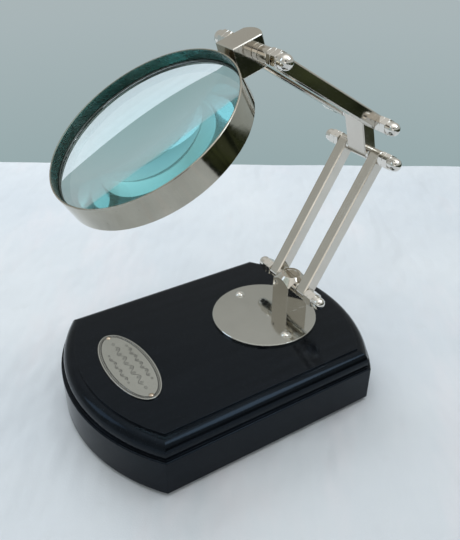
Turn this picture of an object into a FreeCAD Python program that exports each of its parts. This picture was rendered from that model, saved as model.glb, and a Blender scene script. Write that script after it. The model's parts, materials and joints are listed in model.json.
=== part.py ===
import FreeCAD, Part
import math
import os
import Sketcher

V = FreeCAD.Vector
doc = FreeCAD.newDocument("desk_magnifier")
sheet = doc.addObject("Spreadsheet::Sheet", "Sheet")

# Frame: +Z up, -Y the reader's side, +X the right-hand side, origin at the centre
# of the underside. Every hinge pin lies along X. Lengths in mm, angles in degrees.
DRIVING = {
    # wooden base with bowed ends and a moulded upper edge
    "base_width": 127.0,
    "base_length": 178.4,
    "base_end_radius": 99.3,
    "felt_thickness": 1.0,
    "felt_inset": 2.5,
    "ledge_height": 22.6,
    "ledge_round": 0.6,
    "ledge_inset": 1.8,
    "ovolo_radius": 6.2,
    "ovolo_top": 32.0,
    "top_inset": 8.6,
    "base_top": 33.0,
    # round metal plate under the post
    "plate_y": 35.1,
    "plate_radius": 31.6,
    "plate_thickness": 1.6,
    "plate_edge": 0.3,
    "plate_screw_x": 24.4,
    "plate_screw_y": 33.4,
    "plate_screw_hole_radius": 1.85,
    "plate_screw_shank_radius": 1.75,
    "plate_screw_length": 14.0,
    "plate_screw_head_radius": 3.1,
    "plate_screw_head_height": 1.9,
    "screw_slot_width": 0.7,
    "screw_slot_depth": 0.8,
    # oval nameplate and its two pins
    "nameplate_y": -55.5,
    "nameplate_half_width": 30.4,
    "nameplate_half_depth": 13.0,
    "nameplate_thickness": 0.8,
    "nameplate_border": 1.5,
    "nameplate_groove": 0.4,
    "nameplate_groove_depth": 0.25,
    "nameplate_pin_x": 27.7,
    "nameplate_pin_radius": 0.55,
    "nameplate_pin_length": 7.0,
    "nameplate_pin_head_radius": 1.5,
    "nameplate_pin_head_height": 0.8,
    # square post, its clamp screw and the bolt that holds it down
    "stock_width": 15.2,
    "post_y": 54.2,
    "post_pin_z": 50.8,
    "post_top_z": 57.2,
    "post_top_radius": 5.9,
    "cutter_overrun": 1.0,
    "clamp_screw_radius": 4.0,
    "clamp_screw_slot_width": 1.2,
    "clamp_screw_slot_depth": 1.2,
    "clamp_screw_sink": 0.3,
    "thread_fit": 0.03,
    "set_screw_x": -5.1,
    "set_screw_radius": 1.0,
    "set_screw_sink": 0.8,
    "set_screw_socket_width": 0.9,
    "set_screw_socket_depth": 1.2,
    "post_bolt_radius": 2.5,
    "post_bolt_hole_radius": 2.75,
    "post_bolt_reach": 10.0,
    "post_bolt_end_gap": 0.5,
    "post_bolt_head_radius": 4.25,
    "post_bolt_head_height": 3.5,
    "post_bolt_socket_width": 4.0,
    "post_bolt_socket_depth": 2.2,
    "post_washer_radius": 8.0,
    "post_washer_thickness": 1.5,
    "counterbore_radius": 9.0,
    "counterbore_depth": 9.0,
    # cross rods and what is threaded on them
    "rod_radius": 2.5,
    "rod_half_length": 28.3,
    "rod_end_chamfer": 0.5,
    "nut_bore_radius": 2.52,
    "running_bore_radius": 2.56,
    "washer_radius": 3.9,
    "washer_thickness": 1.8,
    "side_play": 0.1,
    "nut_flats": 8.0,
    "nut_turning_rise": 0.34,
    "nut_turning_depth": 0.59,
    "jam_nut_thickness": 3.2,
    "acorn_hex_height": 3.9,
    "acorn_dome_radius": 3.7,
    "acorn_dome_centre": 6.7,
    "acorn_bore_depth": 7.9,
    # the four arms, square bars with rounded ends
    "arm_thickness": 7.6,
    "arm_depth": 7.8,
    "arm_edge": 0.7,
    "lower_arm_centres": 89.3,
    "lower_arm_lean": 31.0,
    "upper_arm_centres": 86.5,
    "upper_arm_rise": 31.4,
    # flat link block at the elbow
    "elbow_pin_spacing": 22.2,
    "elbow_lean": 14.1,
    "elbow_depth": 7.8,
    "elbow_edge": 0.4,
    # lens ring, its block and the lens, laid out in the ring's own tilted frame
    "lens_tilt": 31.6,
    "ring_radius": 50.3,
    "ring_wall": 1.0,
    "ring_height": 14.1,
    "ring_rim_edge": 0.25,
    "ring_seam_gap": 0.3,
    "ring_pin_reach": 64.1,
    "ring_lift": 2.35,
    "head_block_tilt": 18.0,
    "head_block_front": 13.6,
    "head_block_back": 6.0,
    "head_block_height": 15.8,
    "head_block_end_radius": 10.5,
    "head_block_edge": 0.4,
    "lens_gap": 0.1,
    "lens_edge": 2.2,
    "lens_centre": 12.4,
    "lens_setting": 6.6,
    "snap_ring_radius": 0.35,
    "snap_ring_gap": 5.0,
    "snap_ring_fit": 0.03,
    "snap_ring_stand_off": 0.12,
}


def fill_sheet():
    for row, (alias, size) in enumerate(DRIVING.items(), start=1):
        sheet.set("A%d" % row, alias)
        sheet.set("B%d" % row, repr(size))
        sheet.setAlias("B%d" % row, alias)
    doc.recompute()


def size(alias):
    return float(getattr(sheet, alias))


def bind(target, **rules):
    """Tie properties to sheet cells. A double underscore in a name is a dot."""
    for name, rule in rules.items():
        target.setExpression(name.replace("__", "."), rule)


def cell(alias):
    return "Sheet." + alias


# Where the four pins lie, written once as formulas of the driving sizes.
POST_Y = cell("post_y")
POST_Z = cell("post_pin_z")
ELBOW_LOW_Y = POST_Y + " + Sheet.lower_arm_centres * sin(Sheet.lower_arm_lean * 1 deg)"
ELBOW_LOW_Z = POST_Z + " + Sheet.lower_arm_centres * cos(Sheet.lower_arm_lean * 1 deg)"
ELBOW_TOP_Y = ELBOW_LOW_Y + " - Sheet.elbow_pin_spacing * sin(Sheet.elbow_lean * 1 deg)"
ELBOW_TOP_Z = ELBOW_LOW_Z + " + Sheet.elbow_pin_spacing * cos(Sheet.elbow_lean * 1 deg)"
HEAD_Y = ELBOW_TOP_Y + " - Sheet.upper_arm_centres * cos(Sheet.upper_arm_rise * 1 deg)"
HEAD_Z = ELBOW_TOP_Z + " + Sheet.upper_arm_centres * sin(Sheet.upper_arm_rise * 1 deg)"
PIN_PLACES = {
    "post": (POST_Y, POST_Z),
    "elbow_lower": (ELBOW_LOW_Y, ELBOW_LOW_Z),
    "elbow_upper": (ELBOW_TOP_Y, ELBOW_TOP_Z),
    "head": (HEAD_Y, HEAD_Z),
}
ARM_INNER = "(Sheet.stock_width / 2 + Sheet.washer_thickness + Sheet.side_play)"
ARM_OUTER = "(Sheet.stock_width / 2 + Sheet.washer_thickness + Sheet.side_play + Sheet.arm_thickness)"
JAM_SEAT = "(" + ARM_OUTER + " + Sheet.side_play)"
ACORN_SEAT = "(" + JAM_SEAT + " + Sheet.jam_nut_thickness)"


def place(target, y_rule="0", z_rule="0", turn_rule="0", x_rule="0"):
    """Stand a sub-part at a point of the YZ plane, turned about X."""
    target.Placement = FreeCAD.Placement(V(0, 0, 0), FreeCAD.Rotation(V(1, 0, 0), 1e-3))
    bind(
        target,
        Placement__Base__x=x_rule,
        Placement__Base__y=y_rule,
        Placement__Base__z=z_rule,
        Placement__Rotation__Angle=turn_rule,
    )


# ---- small PartDesign vocabulary ------------------------------------------------

def new_body(label):
    body = doc.addObject("PartDesign::Body", label)
    body.Label = label
    return body


def new_sketch(body, name, role, lift=None):
    """A sketch on one of the body's own origin planes, lifted along its normal."""
    sketch = body.newObject("Sketcher::SketchObject", name)
    plane = [item for item in body.Origin.OriginFeatures if item.Role == role][0]
    sketch.AttachmentSupport = [(plane, "")]
    sketch.MapMode = "FlatFace"
    if lift:
        sketch.setExpression("AttachmentOffset.Base.z", lift)
    return sketch


def dimension(sketch, kind, where, rule, name):
    """Add a driving dimension to a sketch and bind it."""
    start = 1.0
    index = sketch.addConstraint(Sketcher.Constraint(kind, *where, start))
    sketch.renameConstraint(index, name)
    sketch.setExpression("Constraints." + name, rule)


def circle(sketch, radius_rule, x_rule=None, y_rule=None, tag="circle"):
    here = sketch.addGeometry(Part.Circle(V(0.5, 0.5, 0), V(0, 0, 1), 1.0))
    dimension(sketch, "Radius", (here,), radius_rule, tag + "_radius")
    if x_rule:
        dimension(sketch, "DistanceX", (-1, 1, here, 3), x_rule, tag + "_x")
    else:
        sketch.addConstraint(Sketcher.Constraint("PointOnObject", here, 3, -2))
    if y_rule:
        dimension(sketch, "DistanceY", (-1, 1, here, 3), y_rule, tag + "_y")
    else:
        sketch.addConstraint(Sketcher.Constraint("PointOnObject", here, 3, -1))


def square(sketch, width_rule, tag="square"):
    """A square centred on the sketch origin."""
    corners = [V(-1, -1, 0), V(1, -1, 0), V(1, 1, 0), V(-1, 1, 0)]
    edges = [
        sketch.addGeometry(Part.LineSegment(corners[i], corners[(i + 1) % 4]))
        for i in range(4)
    ]
    for i in range(4):
        sketch.addConstraint(Sketcher.Constraint("Coincident", edges[i], 2, edges[(i + 1) % 4], 1))
        sketch.addConstraint(Sketcher.Constraint("Horizontal" if i % 2 == 0 else "Vertical", edges[i]))
    sketch.addConstraint(Sketcher.Constraint("Symmetric", edges[0], 1, edges[2], 1, -1, 1))
    dimension(sketch, "DistanceX", (edges[0], 1, edges[0], 2), width_rule, tag + "_x")
    dimension(sketch, "DistanceY", (edges[1], 1, edges[1], 2), width_rule, tag + "_y")


def bowed_outline(sketch, inset_rule):
    """Two straight sides joined by two shallow end arcs, all moved in by one inset."""
    right = sketch.addGeometry(Part.LineSegment(V(60, -70, 0), V(60, 70, 0)))
    left = sketch.addGeometry(Part.LineSegment(V(-60, 70, 0), V(-60, -70, 0)))
    low, high = math.radians(50), math.radians(130)
    bow = Part.Circle(V(0, -10, 0), V(0, 0, 1), 95)
    back = sketch.addGeometry(Part.ArcOfCircle(bow, low, high))
    bow = Part.Circle(V(0, 10, 0), V(0, 0, 1), 95)
    front = sketch.addGeometry(Part.ArcOfCircle(bow, low + math.pi, high + math.pi))
    for first, second in ((right, back), (back, left), (left, front), (front, right)):
        sketch.addConstraint(Sketcher.Constraint("Coincident", first, 2, second, 1))
    for side in (right, left):
        sketch.addConstraint(Sketcher.Constraint("Vertical", side))
    for arc in (back, front):
        sketch.addConstraint(Sketcher.Constraint("PointOnObject", arc, 3, -2))
    half = "Sheet.base_width / 2 - (" + inset_rule + ")"
    offset = "Sheet.base_end_radius - Sheet.base_length / 2"
    radius = "Sheet.base_end_radius - (" + inset_rule + ")"
    dimension(sketch, "DistanceX", (-1, 1, right, 1), half, "right_side")
    dimension(sketch, "DistanceX", (left, 1, -1, 1), half, "left_side")
    dimension(sketch, "DistanceY", (back, 3, -1, 1), offset, "back_centre")
    dimension(sketch, "DistanceY", (-1, 1, front, 3), offset, "front_centre")
    dimension(sketch, "Radius", (back,), radius, "back_bow")
    dimension(sketch, "Radius", (front,), radius, "front_bow")


def link_outline(sketch, length_rule, depth_rule):
    """A bar outline with round ends, from the origin along +Y of the sketch."""
    left = sketch.addGeometry(Part.LineSegment(V(-3, 0, 0), V(-3, 50, 0)))
    right = sketch.addGeometry(Part.LineSegment(V(3, 50, 0), V(3, 0, 0)))
    tip = Part.Circle(V(0, 50, 0), V(0, 0, 1), 3)
    foot = Part.Circle(V(0, 0, 0), V(0, 0, 1), 3)
    top = sketch.addGeometry(Part.ArcOfCircle(tip, 0, math.pi))
    bottom = sketch.addGeometry(Part.ArcOfCircle(foot, math.pi, 2 * math.pi))
    for first, first_end, second, second_end in (
        (right, 1, top, 1), (top, 2, left, 2), (left, 1, bottom, 1), (bottom, 2, right, 2),
    ):
        sketch.addConstraint(Sketcher.Constraint("Tangent", first, first_end, second, second_end))
    sketch.addConstraint(Sketcher.Constraint("Coincident", bottom, 3, -1, 1))
    sketch.addConstraint(Sketcher.Constraint("PointOnObject", top, 3, -2))
    sketch.addConstraint(Sketcher.Constraint("Equal", top, bottom))
    dimension(sketch, "Radius", (bottom,), "(" + depth_rule + ") / 2", "half_depth")
    dimension(sketch, "DistanceY", (-1, 1, top, 3), length_rule, "centres")


def polygon(sketch, points):
    """Closed line chain; each point is an (x rule, y rule) pair, None on an axis."""
    guess = [V(trial(x_rule), trial(y_rule), 0) for x_rule, y_rule in points]
    count = len(points)
    edges = [
        sketch.addGeometry(Part.LineSegment(guess[i], guess[(i + 1) % count]))
        for i in range(count)
    ]
    for i in range(count):
        sketch.addConstraint(Sketcher.Constraint("Coincident", edges[i], 2, edges[(i + 1) % count], 1))
    for i, (x_rule, y_rule) in enumerate(points):
        pin_point(sketch, edges[i], 1, x_rule, y_rule, "point%d" % i)


def trial(rule):
    """The present value of a rule, for a sketch's starting shape."""
    if rule is None:
        return 0.0
    found = sheet.evalExpression(rule)
    return float(getattr(found, "Value", found))


def pin_point(sketch, edge, end, x_rule, y_rule, tag):
    for axis, kind, rule in ((-2, "DistanceX", x_rule), (-1, "DistanceY", y_rule)):
        if rule is None:
            sketch.addConstraint(Sketcher.Constraint("PointOnObject", edge, end, axis))
        elif trial(rule) < 0:
            dimension(sketch, kind, (edge, end, -1, 1), "-(" + rule + ")", tag + kind)
        else:
            dimension(sketch, kind, (-1, 1, edge, end), rule, tag + kind)


def pad(body, name, sketch, length_rule, centred=False, reverse=False):
    feature = body.newObject("PartDesign::Pad", name)
    feature.Profile = sketch
    feature.Length = 1.0
    feature.SideType = "Symmetric" if centred else "One side"
    feature.Reversed = reverse
    bind(feature, Length=length_rule)
    doc.recompute()
    return feature


def pocket(body, name, sketch, depth_rule=None, reverse=False, centred=False):
    """Cut a sketch away and make sure that something was really removed."""
    before = body.Shape.Volume
    feature = body.newObject("PartDesign::Pocket", name)
    feature.Profile = sketch
    feature.Reversed = reverse
    if depth_rule:
        feature.Length = 1.0
        bind(feature, Length=depth_rule)
    else:
        feature.Type = "ThroughAll"
    if centred:
        feature.SideType = "Symmetric"
    doc.recompute()
    if body.Shape.Volume > before - 1e-3:
        raise ValueError(name + " removed nothing")
    return feature


def revolve(body, name, sketch, cut=False):
    kind = "PartDesign::Groove" if cut else "PartDesign::Revolution"
    before = body.Shape.Volume if cut else 0.0
    feature = body.newObject(kind, name)
    feature.Profile = sketch
    feature.ReferenceAxis = (sketch, ["V_Axis"])
    feature.Angle = 360.0
    doc.recompute()
    if cut and body.Shape.Volume > before - 1e-3:
        raise ValueError(name + " removed nothing")
    return feature


def edges_where(shape, test):
    return ["Edge%d" % i for i, edge in enumerate(shape.Edges, start=1) if test(edge)]


def at_height(height):
    def test(edge):
        box = edge.BoundBox
        return abs(box.ZMin - height) < 1e-4 and abs(box.ZMax - height) < 1e-4
    return test


def dress(body, kind, name, test, rule):
    """Fillet or chamfer the edges of the present tip that pass a test."""
    base = body.Tip
    chosen = edges_where(base.Shape, test)
    if not chosen:
        raise ValueError(name + " found no edges")
    feature = body.newObject("PartDesign::" + kind, name)
    feature.Base = (base, chosen)
    prop = "Radius" if kind == "Fillet" else "Size"
    setattr(feature, prop, 0.1)
    feature.setExpression(prop, rule)
    doc.recompute()
    return feature


# ---- base ----------------------------------------------------------------------

def make_base_felt():
    body = new_body("base_felt")
    outline = new_sketch(body, "felt_outline", "XY_Plane")
    bowed_outline(outline, cell("felt_inset"))
    pad(body, "felt_pad", outline, cell("felt_thickness"))


def make_base_block():
    """Slab, rounded ledge, quarter-round moulding and a thin raised top."""
    body = new_body("base_block")
    slab = new_sketch(body, "slab_outline", "XY_Plane", cell("felt_thickness"))
    bowed_outline(slab, "0")
    pad(body, "slab", slab, "Sheet.ledge_height - Sheet.felt_thickness")
    dress(body, "Fillet", "ledge_nose", at_height(size("ledge_height")), cell("ledge_round"))
    ovolo = new_sketch(body, "ovolo_outline", "XY_Plane", cell("ledge_height"))
    bowed_outline(ovolo, cell("ledge_inset"))
    pad(body, "ovolo_block", ovolo, "Sheet.ovolo_top - Sheet.ledge_height")
    dress(body, "Fillet", "ovolo", at_height(size("ovolo_top")), cell("ovolo_radius"))
    top = new_sketch(body, "top_outline", "XY_Plane", cell("ovolo_top"))
    bowed_outline(top, cell("top_inset"))
    pad(body, "top_step", top, "Sheet.base_top - Sheet.ovolo_top")
    bolt = new_sketch(body, "bolt_hole", "XY_Plane")
    circle(bolt, cell("post_bolt_hole_radius"), None, POST_Y)
    pocket(body, "bolt_bore", bolt, None, reverse=True)
    sink = new_sketch(body, "bolt_counterbore", "XY_Plane")
    circle(sink, cell("counterbore_radius"), None, POST_Y)
    pocket(body, "counterbore", sink, cell("counterbore_depth"), reverse=True)
    for side in ("right", "left"):
        pilot = new_sketch(body, "pilot_" + side, "XY_Plane", cell("base_top"))
        wood_hole(pilot, side, "plate_screw_x", cell("plate_screw_y"), "plate_screw_shank_radius")
        depth = "Sheet.plate_screw_length - Sheet.plate_thickness"
        pocket(body, "pilot_bore_" + side, pilot, depth)
        nail = new_sketch(body, "nail_" + side, "XY_Plane", cell("base_top"))
        wood_hole(nail, side, "nameplate_pin_x", cell("nameplate_y"), "nameplate_pin_radius")
        depth = "Sheet.nameplate_pin_length - Sheet.nameplate_thickness"
        pocket(body, "nail_bore_" + side, nail, depth)


def wood_hole(sketch, side, reach, y_rule, radius):
    """One hole at plus or minus the named distance from the middle plane."""
    here = sketch.addGeometry(Part.Circle(V(10 if side == "right" else -10, 0, 0), V(0, 0, 1), 1.0))
    dimension(sketch, "Radius", (here,), cell(radius), "hole_radius")
    ends = (-1, 1, here, 3) if side == "right" else (here, 3, -1, 1)
    dimension(sketch, "DistanceX", ends, cell(reach), "hole_x")
    if trial(y_rule) < 0:
        dimension(sketch, "DistanceY", (here, 3, -1, 1), "-(" + y_rule + ")", "hole_y")
    else:
        dimension(sketch, "DistanceY", (-1, 1, here, 3), y_rule, "hole_y")


def make_mounting_plate():
    body = new_body("mounting_plate")
    disc = new_sketch(body, "plate_disc", "XY_Plane", cell("base_top"))
    circle(disc, cell("plate_radius"), None, cell("plate_y"))
    pad(body, "disc", disc, cell("plate_thickness"))
    top = size("base_top") + size("plate_thickness")
    dress(body, "Chamfer", "disc_edge", at_height(top), cell("plate_edge"))
    bolt = new_sketch(body, "plate_bolt_hole", "XY_Plane", cell("base_top"))
    circle(bolt, cell("post_bolt_hole_radius"), None, POST_Y)
    pocket(body, "plate_bolt_bore", bolt, None, reverse=True)
    for side in ("right", "left"):
        hole = new_sketch(body, "plate_hole_" + side, "XY_Plane", cell("base_top"))
        wood_hole(hole, side, "plate_screw_x", cell("plate_screw_y"), "plate_screw_hole_radius")
        pocket(body, "plate_bore_" + side, hole, None, reverse=True)


# ---- Part primitives -------------------------------------------------------------

def primitive(kind, name, **rules):
    item = doc.addObject("Part::" + kind, name)
    bind(item, **rules)
    return item


def lay_along_x(item, x_rule="0", mirror=False):
    """Turn a primitive's own Z axis to +X, or to -X when mirrored."""
    turn = -90 if mirror else 90
    item.Placement = FreeCAD.Placement(V(0, 0, 0), FreeCAD.Rotation(V(0, 1, 0), turn))
    rule = "-(" + x_rule + ")" if mirror else x_rule
    bind(item, Placement__Base__x=rule)


def combine(kind, name, first, second):
    item = doc.addObject("Part::" + kind, name)
    item.Base = first
    item.Tool = second
    return item


def make_plate_screws():
    """Two slotted round-head wood screws."""
    for side, sign in (("right", ""), ("left", "-")):
        tag = "plate_screw_" + side
        shank = primitive("Cylinder", tag + "_shank", Radius=cell("plate_screw_shank_radius"),
                          Height=cell("plate_screw_length"))
        bind(shank, Placement__Base__z="-Sheet.plate_screw_length")
        # the head is the cap of a ball, as tall as the head and as wide as its rim
        ball_rule = ("(Sheet.plate_screw_head_radius ^ 2 + Sheet.plate_screw_head_height ^ 2)"
                     " / (2 * Sheet.plate_screw_head_height)")
        ball = primitive("Sphere", tag + "_ball", Radius=ball_rule)
        bind(ball, Placement__Base__z="Sheet.plate_screw_head_height - " + ball_rule)
        keep = primitive("Cylinder", tag + "_keep", Radius="2 * Sheet.plate_screw_head_radius",
                         Height=cell("plate_screw_head_height"))
        head = combine("Common", tag + "_head", ball, keep)
        whole = combine("Fuse", tag + "_whole", head, shank)
        slot = primitive("Box", tag + "_slot", Length="4 * Sheet.plate_screw_head_radius",
                         Width=cell("screw_slot_width"), Height="2 * Sheet.screw_slot_depth")
        bind(slot, Placement__Base__x="-2 * Sheet.plate_screw_head_radius",
             Placement__Base__y="-Sheet.screw_slot_width / 2",
             Placement__Base__z="Sheet.plate_screw_head_height - Sheet.screw_slot_depth")
        screw = combine("Cut", tag, whole, slot)
        bind(screw, Placement__Base__x=sign + cell("plate_screw_x"),
             Placement__Base__y=cell("plate_screw_y"),
             Placement__Base__z="Sheet.base_top + Sheet.plate_thickness")


def oval(name, inset_rule, height_rule):
    face = primitive("Ellipse", name + "_edge",
                     MajorRadius="Sheet.nameplate_half_width - (" + inset_rule + ")",
                     MinorRadius="Sheet.nameplate_half_depth - (" + inset_rule + ")")
    solid = doc.addObject("Part::Extrusion", name)
    solid.Base = face
    solid.DirMode = "Custom"
    solid.Dir = V(0, 0, 1)
    solid.Solid = True
    solid.LengthFwd = 1.0
    bind(solid, LengthFwd=height_rule)
    return solid


def make_nameplate():
    """Blank oval plate with an engraved border line and two pin holes."""
    blank = oval("nameplate_blank", "0", cell("nameplate_thickness"))
    outer = oval("nameplate_outer", cell("nameplate_border"), "2 * Sheet.nameplate_groove_depth")
    inner_rule = "Sheet.nameplate_border + Sheet.nameplate_groove"
    inner = oval("nameplate_inner", inner_rule, "2 * Sheet.nameplate_groove_depth")
    groove = combine("Cut", "nameplate_groove_ring", outer, inner)
    bind(groove, Placement__Base__z="Sheet.nameplate_thickness - Sheet.nameplate_groove_depth")
    plate = combine("Cut", "nameplate_grooved", blank, groove)
    for side, sign in (("right", ""), ("left", "-")):
        hole = primitive("Cylinder", "nameplate_hole_" + side, Radius=cell("nameplate_pin_radius"),
                         Height="2 * Sheet.nameplate_thickness")
        bind(hole, Placement__Base__x=sign + cell("nameplate_pin_x"),
             Placement__Base__z="-Sheet.nameplate_thickness / 2")
        name = "nameplate" if side == "left" else "nameplate_one_hole"
        plate = combine("Cut", name, plate, hole)
    bind(plate, Placement__Base__y=cell("nameplate_y"), Placement__Base__z=cell("base_top"))


def make_nameplate_pins():
    for side, sign in (("right", ""), ("left", "-")):
        tag = "nameplate_pin_" + side
        shank = primitive("Cylinder", tag + "_shank", Radius=cell("nameplate_pin_radius"),
                          Height=cell("nameplate_pin_length"))
        bind(shank, Placement__Base__z="-Sheet.nameplate_pin_length")
        ball_rule = ("(Sheet.nameplate_pin_head_radius ^ 2 + Sheet.nameplate_pin_head_height ^ 2)"
                     " / (2 * Sheet.nameplate_pin_head_height)")
        ball = primitive("Sphere", tag + "_ball", Radius=ball_rule)
        bind(ball, Placement__Base__z="Sheet.nameplate_pin_head_height - " + ball_rule)
        keep = primitive("Cylinder", tag + "_keep", Radius="2 * Sheet.nameplate_pin_head_radius",
                         Height=cell("nameplate_pin_head_height"))
        head = combine("Common", tag + "_head", ball, keep)
        pin = combine("Fuse", tag, head, shank)
        bind(pin, Placement__Base__x=sign + cell("nameplate_pin_x"),
             Placement__Base__y=cell("nameplate_y"),
             Placement__Base__z="Sheet.base_top + Sheet.nameplate_thickness")


# ---- post ------------------------------------------------------------------------

def make_post():
    """Square post with a coned top, a cross bore, a bolt hole and a clamp screw hole."""
    body = new_body("post")
    foot = "Sheet.base_top + Sheet.plate_thickness"
    section = new_sketch(body, "post_section", "XY_Plane", foot)
    square(section, cell("stock_width"))
    pad(body, "post_bar", section, "Sheet.post_top_z - (" + foot + ")")
    cone = new_sketch(body, "post_cone", "XZ_Plane")
    polygon(cone, [
        (cell("post_top_radius"), cell("post_top_z")),
        (cell("stock_width"), "Sheet.post_top_z - (Sheet.stock_width - Sheet.post_top_radius)"),
        (cell("stock_width"), "Sheet.post_top_z + Sheet.cutter_overrun"),
        (cell("post_top_radius"), "Sheet.post_top_z + Sheet.cutter_overrun"),
    ])
    revolve(body, "post_coned_top", cone, cut=True)
    cross = new_sketch(body, "post_cross", "YZ_Plane")
    circle(cross, cell("nut_bore_radius"), None, POST_Z)
    pocket(body, "post_cross_bore", cross, None, centred=True)
    bolt = new_sketch(body, "post_bolt_hole", "XY_Plane", foot)
    circle(bolt, cell("post_bolt_radius"))
    pocket(body, "post_bolt_bore", bolt, cell("post_bolt_reach"), reverse=True)
    front = new_sketch(body, "post_set_screw_hole", "XZ_Plane")
    here = front.addGeometry(Part.Circle(V(size("set_screw_x"), size("post_pin_z"), 0), V(0, 0, 1), 1.0))
    dimension(front, "Radius", (here,), cell("set_screw_radius"), "set_screw_radius")
    dimension(front, "DistanceX", (here, 3, -1, 1), "-Sheet.set_screw_x", "set_screw_x")
    dimension(front, "DistanceY", (-1, 1, here, 3), POST_Z, "set_screw_z")
    pocket(body, "post_set_screw_bore", front, None, reverse=True)
    top = new_sketch(body, "post_screw_hole", "XY_Plane", cell("post_top_z"))
    circle(top, cell("clamp_screw_radius"))
    pocket(body, "post_screw_bore", top, "Sheet.post_top_z - Sheet.post_pin_z - Sheet.rod_radius")
    bind(body, Placement__Base__y=POST_Y)


def make_post_clamp_screw():
    """Slotted plug in the top of the post, down on the cross rod."""
    plug = primitive("Cylinder", "clamp_plug", Radius="Sheet.clamp_screw_radius - Sheet.thread_fit",
                     Height="Sheet.post_top_z - Sheet.clamp_screw_sink"
                            " - Sheet.post_pin_z - Sheet.rod_radius")
    slot = primitive("Box", "clamp_slot", Length="4 * Sheet.clamp_screw_radius",
                     Width=cell("clamp_screw_slot_width"),
                     Height="2 * Sheet.clamp_screw_slot_depth")
    bind(slot, Placement__Base__x="-2 * Sheet.clamp_screw_radius",
         Placement__Base__y="-Sheet.clamp_screw_slot_width / 2",
         Placement__Base__z="Sheet.post_top_z - Sheet.clamp_screw_sink - Sheet.post_pin_z"
                            " - Sheet.rod_radius - Sheet.clamp_screw_slot_depth")
    screw = combine("Cut", "post_clamp_screw", plug, slot)
    bind(screw, Placement__Base__y=POST_Y, Placement__Base__z="Sheet.post_pin_z + Sheet.rod_radius")


def make_post_set_screw():
    """Socket set screw in the front of the post, run in against the cross rod."""
    length = "(Sheet.stock_width / 2 - Sheet.set_screw_sink - Sheet.rod_radius - Sheet.thread_fit)"
    plug = primitive("Cylinder", "set_screw_plug", Height=length,
                     Radius="Sheet.set_screw_radius - Sheet.thread_fit")
    socket = primitive("Prism", "set_screw_socket", Height="2 * Sheet.set_screw_socket_depth",
                       Circumradius="Sheet.set_screw_socket_width / sqrt(3)")
    socket.Polygon = 6
    bind(socket, Placement__Base__z=length + " - Sheet.set_screw_socket_depth")
    screw = combine("Cut", "post_set_screw", plug, socket)
    screw.Placement = FreeCAD.Placement(V(0, 0, 0), FreeCAD.Rotation(V(1, 0, 0), 90))
    bind(screw, Placement__Base__x=cell("set_screw_x"), Placement__Base__z=POST_Z,
         Placement__Base__y=POST_Y + " - Sheet.rod_radius - Sheet.thread_fit")


def make_post_bolt():
    """Socket-head bolt up through the base and plate into the post, and its washer."""
    seat = "(Sheet.counterbore_depth - Sheet.post_washer_thickness)"
    length = ("Sheet.base_top + Sheet.plate_thickness + Sheet.post_bolt_reach"
              " - Sheet.post_bolt_end_gap - " + seat)
    shank = primitive("Cylinder", "bolt_shank", Height=length,
                      Radius="Sheet.post_bolt_radius - Sheet.thread_fit")
    head = primitive("Cylinder", "bolt_head", Radius=cell("post_bolt_head_radius"),
                     Height=cell("post_bolt_head_height"))
    bind(head, Placement__Base__z="-Sheet.post_bolt_head_height")
    whole = combine("Fuse", "bolt_whole", head, shank)
    socket = primitive("Prism", "bolt_socket", Circumradius="Sheet.post_bolt_socket_width / sqrt(3)",
                       Height="2 * Sheet.post_bolt_socket_depth")
    socket.Polygon = 6
    bind(socket, Placement__Base__z="-Sheet.post_bolt_head_height - Sheet.post_bolt_socket_depth")
    bolt = combine("Cut", "post_bolt", whole, socket)
    bind(bolt, Placement__Base__y=POST_Y, Placement__Base__z=seat)
    disc = primitive("Cylinder", "bolt_washer_disc", Radius=cell("post_washer_radius"),
                     Height=cell("post_washer_thickness"))
    hole = primitive("Cylinder", "bolt_washer_hole", Radius=cell("post_bolt_hole_radius"),
                     Height="3 * Sheet.post_washer_thickness")
    bind(hole, Placement__Base__z="-Sheet.post_washer_thickness")
    washer = combine("Cut", "post_bolt_washer", disc, hole)
    bind(washer, Placement__Base__y=POST_Y, Placement__Base__z=seat)


# ---- pins and nuts, the same set at each of the four pivots ------------------------

def make_rod(station):
    rod = primitive("Cylinder", station + "_rod_bar", Radius=cell("rod_radius"),
                    Height="2 * Sheet.rod_half_length")
    doc.recompute()
    ended = doc.addObject("Part::Chamfer", station + "_rod")
    ended.Base = rod
    rims = [i for i, edge in enumerate(rod.Shape.Edges, start=1)
            if abs(edge.BoundBox.ZMax - edge.BoundBox.ZMin) < 1e-6]
    ended.Edges = [(i, size("rod_end_chamfer"), size("rod_end_chamfer")) for i in rims]
    set_at_station(ended, station, "-Sheet.rod_half_length", False)


def set_at_station(item, station, x_rule, mirror):
    y_rule, z_rule = PIN_PLACES[station]
    lay_along_x(item, x_rule, mirror)
    bind(item, Placement__Base__y=y_rule, Placement__Base__z=z_rule)


def make_washer(station, side):
    name = "%s_washer_%s" % (station, side)
    disc = primitive("Cylinder", name + "_disc", Radius=cell("washer_radius"),
                     Height=cell("washer_thickness"))
    hole = primitive("Cylinder", name + "_hole", Radius=cell("nut_bore_radius"),
                     Height="3 * Sheet.washer_thickness")
    bind(hole, Placement__Base__z="-Sheet.washer_thickness")
    washer = combine("Cut", name, disc, hole)
    set_at_station(washer, station, "Sheet.stock_width / 2", side == "left")


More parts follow.
